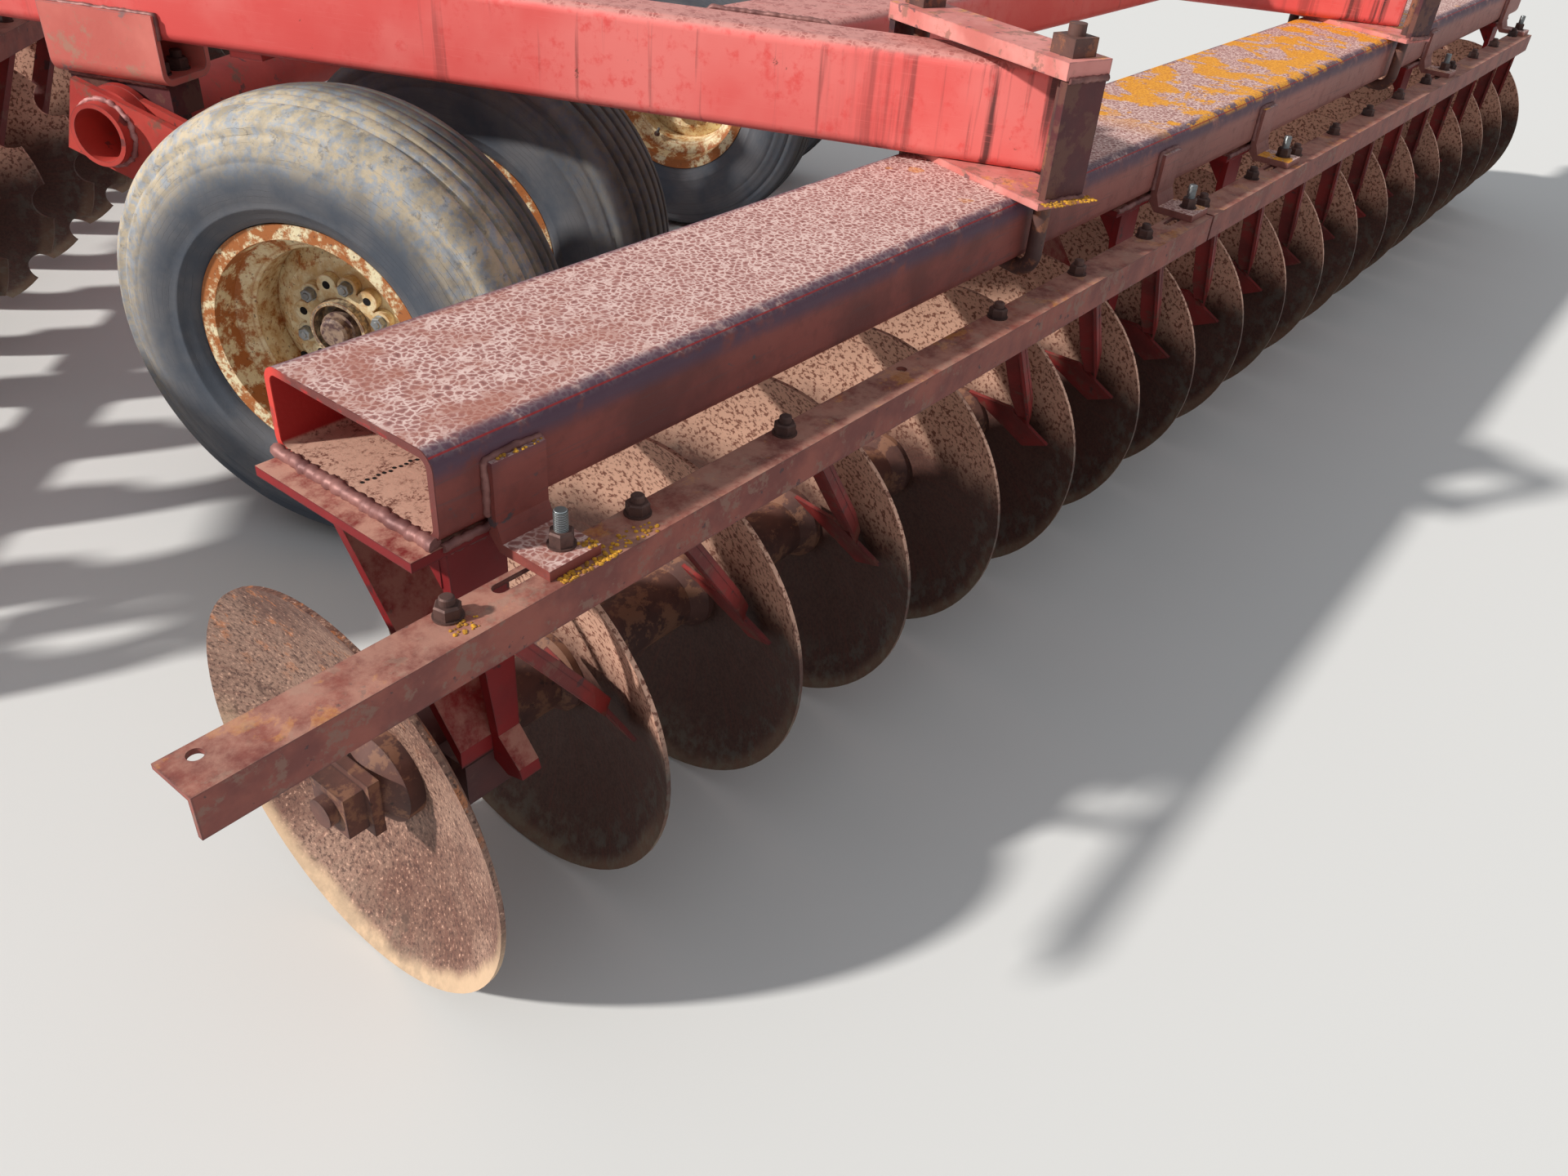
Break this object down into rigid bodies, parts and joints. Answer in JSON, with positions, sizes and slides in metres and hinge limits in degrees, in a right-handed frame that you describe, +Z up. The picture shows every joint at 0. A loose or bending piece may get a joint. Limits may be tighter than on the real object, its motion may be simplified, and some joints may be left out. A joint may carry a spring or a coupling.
{
  "type": "disc harrow",
  "caption": "Trailed heavy offset disc harrow: two angled disc gangs under box beams, scrapers, a wheeled frame lifted by a rockshaft and cylinder, and a tongue with a jack.",
  "frame": {"origin": "middle of the machine's outer box, on the ground", "axes": "+X to the machine's right, +Y forward towards the hitch, +Z up"},
  "size_m": [4.8336, 6.8662, 1.2327],
  "materials": {
    "frame_paint": "sun-faded red paint with rust",
    "gang_paint": "faded red paint, mottled with rust",
    "dark_paint": "dull dark red paint with rust",
    "deep_paint": "deep red paint",
    "clamp_paint": "worn red paint with rust",
    "rusty_steel": "dark rusty steel",
    "disc_steel": "rust-brown steel, worn at the rim",
    "cast": "rusty cast iron",
    "tyre": "weathered grey-black rubber with dust",
    "rim_paint": "cream paint, heavily rusted",
    "rod_chrome": "dull chrome"
  },
  "bodies": {
    "frame": {"left_frame_beam": "frame_paint", "right_frame_beam": "frame_paint", "rear_diagonal_tube": "gang_paint", "front_diagonal_tube": "gang_paint", "front_cross_tube": "frame_paint", "rear_gang_beam": "gang_paint", "front_gang_beam": "gang_paint", "clamp_plates": "clamp_paint", "clamp_straps": "clamp_paint", "clamp_posts": "dark_paint", "clamp_u_bolts": "rusty_steel", "bearing_hangers": "deep_paint", "gang_bearings": "cast", "rear_scraper_bar_left": "dark_paint", "rear_scraper_bar_right": "dark_paint", "front_scraper_bars": "dark_paint", "rear_scrapers": "deep_paint", "front_scrapers": "deep_paint", "rockshaft_saddles": "clamp_paint", "rockshaft_brackets": "frame_paint", "tongue": "frame_paint", "hitch": "dark_paint", "levelling_screw": "rusty_steel"},
    "rear_left_gang": {"rear_left_discs": "disc_steel", "rear_left_axle": "cast"},
    "rear_right_gang": {"rear_right_discs": "disc_steel", "rear_right_axle": "cast"},
    "front_left_gang": {"front_left_discs": "disc_steel", "front_left_axle": "cast"},
    "front_right_gang": {"front_right_discs": "disc_steel", "front_right_axle": "cast"},
    "lift": {"rockshaft": "frame_paint", "wheel_arms": "frame_paint"},
    "outer_left_wheel_body": {"outer_left_wheel": "rim_paint", "outer_left_tyre": "tyre"},
    "inner_left_wheel_body": {"inner_left_wheel": "rim_paint", "inner_left_tyre": "tyre"},
    "inner_right_wheel_body": {"inner_right_wheel": "rim_paint", "inner_right_tyre": "tyre"},
    "outer_right_wheel_body": {"outer_right_wheel": "rim_paint", "outer_right_tyre": "tyre"},
    "barrel": {"cylinder_barrel": "frame_paint"},
    "rod": {"cylinder_rod": "rod_chrome"},
    "jack": {"jack_tube": "frame_paint"},
    "jack_foot": {"jack_leg": "rusty_steel"}
  },
  "joints": [
    {"name": "rear_left_gang_roll", "type": "hinge", "parent": "frame", "child": "rear_left_gang", "pos_m": [-1.29147, -1.71744, 0.2667], "axis": [0.9171, -0.3987, 0], "continuous": true},
    {"name": "rear_right_gang_roll", "type": "hinge", "parent": "frame", "child": "rear_right_gang", "pos_m": [0.92139, -2.67962, 0.2667], "axis": [0.9171, -0.3987, 0], "continuous": true},
    {"name": "front_left_gang_roll", "type": "hinge", "parent": "frame", "child": "front_left_gang", "pos_m": [-0.98907, 0.42151, 0.2667], "axis": [-0.9397, -0.342, 0], "continuous": true},
    {"name": "front_right_gang_roll", "type": "hinge", "parent": "frame", "child": "front_right_gang", "pos_m": [1.27841, 1.24681, 0.2667], "axis": [-0.9397, -0.342, 0], "continuous": true},
    {"name": "rockshaft_turn", "type": "hinge", "parent": "frame", "child": "lift", "pos_m": [-0.03434, -0.26299, 0.583], "axis": [1, 0, 0], "range_deg": [-14, 26]},
    {"name": "outer_left_wheel_roll", "type": "hinge", "parent": "lift", "child": "outer_left_wheel_body", "pos_m": [-1.20234, -0.84899, 0.39], "axis": [1, 0, 0], "continuous": true},
    {"name": "inner_left_wheel_roll", "type": "hinge", "parent": "lift", "child": "inner_left_wheel_body", "pos_m": [-0.69634, -0.84899, 0.39], "axis": [1, 0, 0], "continuous": true},
    {"name": "inner_right_wheel_roll", "type": "hinge", "parent": "lift", "child": "inner_right_wheel_body", "pos_m": [0.62766, -0.84899, 0.39], "axis": [1, 0, 0], "continuous": true},
    {"name": "outer_right_wheel_roll", "type": "hinge", "parent": "lift", "child": "outer_right_wheel_body", "pos_m": [1.13366, -0.84899, 0.39], "axis": [1, 0, 0], "continuous": true},
    {"name": "cylinder_pivot", "type": "hinge", "parent": "frame", "child": "barrel", "pos_m": [-0.03434, 0.26329, 0.765], "axis": [1, 0, 0], "range_deg": [-2.5, 4.5]},
    {"name": "cylinder_stroke", "type": "slide", "parent": "barrel", "child": "rod", "axis": [0, -0.9917, 0.1285], "range_m": [-0.06, 0.11]},
    {"name": "jack_swing", "type": "hinge", "parent": "frame", "child": "jack", "pos_m": [-0.29434, 2.76701, 0.56653], "axis": [1, 0, 0], "range_deg": [0, 90]},
    {"name": "jack_extend", "type": "slide", "parent": "jack", "child": "jack_foot", "axis": [0, 0, 1], "range_m": [0, 0.13]}
  ],
  "couplings": [
    {"joint": "cylinder_pivot", "follows": "rockshaft_turn", "ratio": 0.16394},
    {"joint": "cylinder_stroke", "follows": "rockshaft_turn", "m_per_rad": 0.2388}
  ]
}
